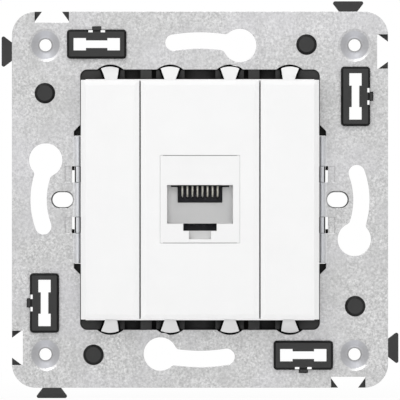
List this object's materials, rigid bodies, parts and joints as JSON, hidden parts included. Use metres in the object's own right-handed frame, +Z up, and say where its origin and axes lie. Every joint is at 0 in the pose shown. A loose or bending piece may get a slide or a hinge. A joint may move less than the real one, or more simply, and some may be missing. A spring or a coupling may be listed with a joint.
{
  "type": "ethernet wall socket",
  "caption": "Flush wall data socket: a square steel plate on a black snap-in frame holds blank covers and a white module with a modular network jack.",
  "frame": {"origin": "centre of the steel plate's window, on the plate's rear face, where the corner screw pattern's axis crosses it", "axes": "+X to the right and +Z up as seen from the front; the front faces -Y"},
  "size_m": [0.0746, 0.0289, 0.0746],
  "materials": {
    "galvanised_steel": "galvanised, fine spangle",
    "black_plastic": "moulded, satin",
    "white_plastic": "moulded, smooth",
    "jack_plastic": "moulded, smooth",
    "gold_contacts": "gold flash",
    "board": "solder mask",
    "terminal_plastic": "moulded",
    "tinned_blades": "tinned"
  },
  "bodies": {
    "socket": {"mounting_plate": "galvanised_steel", "carrier_frame": "black_plastic", "left_blank": "white_plastic", "right_blank": "white_plastic", "socket_cover": "white_plastic", "jack_housing": "jack_plastic", "contact_block": "black_plastic", "circuit_board": "board", "terminal_block_left": "terminal_plastic", "terminal_block_right": "terminal_plastic", "contact_1": "gold_contacts", "contact_2": "gold_contacts", "contact_3": "gold_contacts", "contact_4": "gold_contacts", "contact_5": "gold_contacts", "contact_6": "gold_contacts", "contact_7": "gold_contacts", "contact_8": "gold_contacts", "wire_blade_1": "tinned_blades", "wire_blade_2": "tinned_blades", "wire_blade_3": "tinned_blades", "wire_blade_4": "tinned_blades", "wire_blade_5": "tinned_blades", "wire_blade_6": "tinned_blades", "wire_blade_7": "tinned_blades", "wire_blade_8": "tinned_blades"},
    "cap": {"wire_cap": "jack_plastic"}
  },
  "joints": [
    {"name": "cap_hinge", "type": "hinge", "parent": "socket", "child": "cap", "pos_m": [0, 0.0174, 0.00975], "axis": [1, 0, 0], "range_deg": [0, 100]}
  ]
}
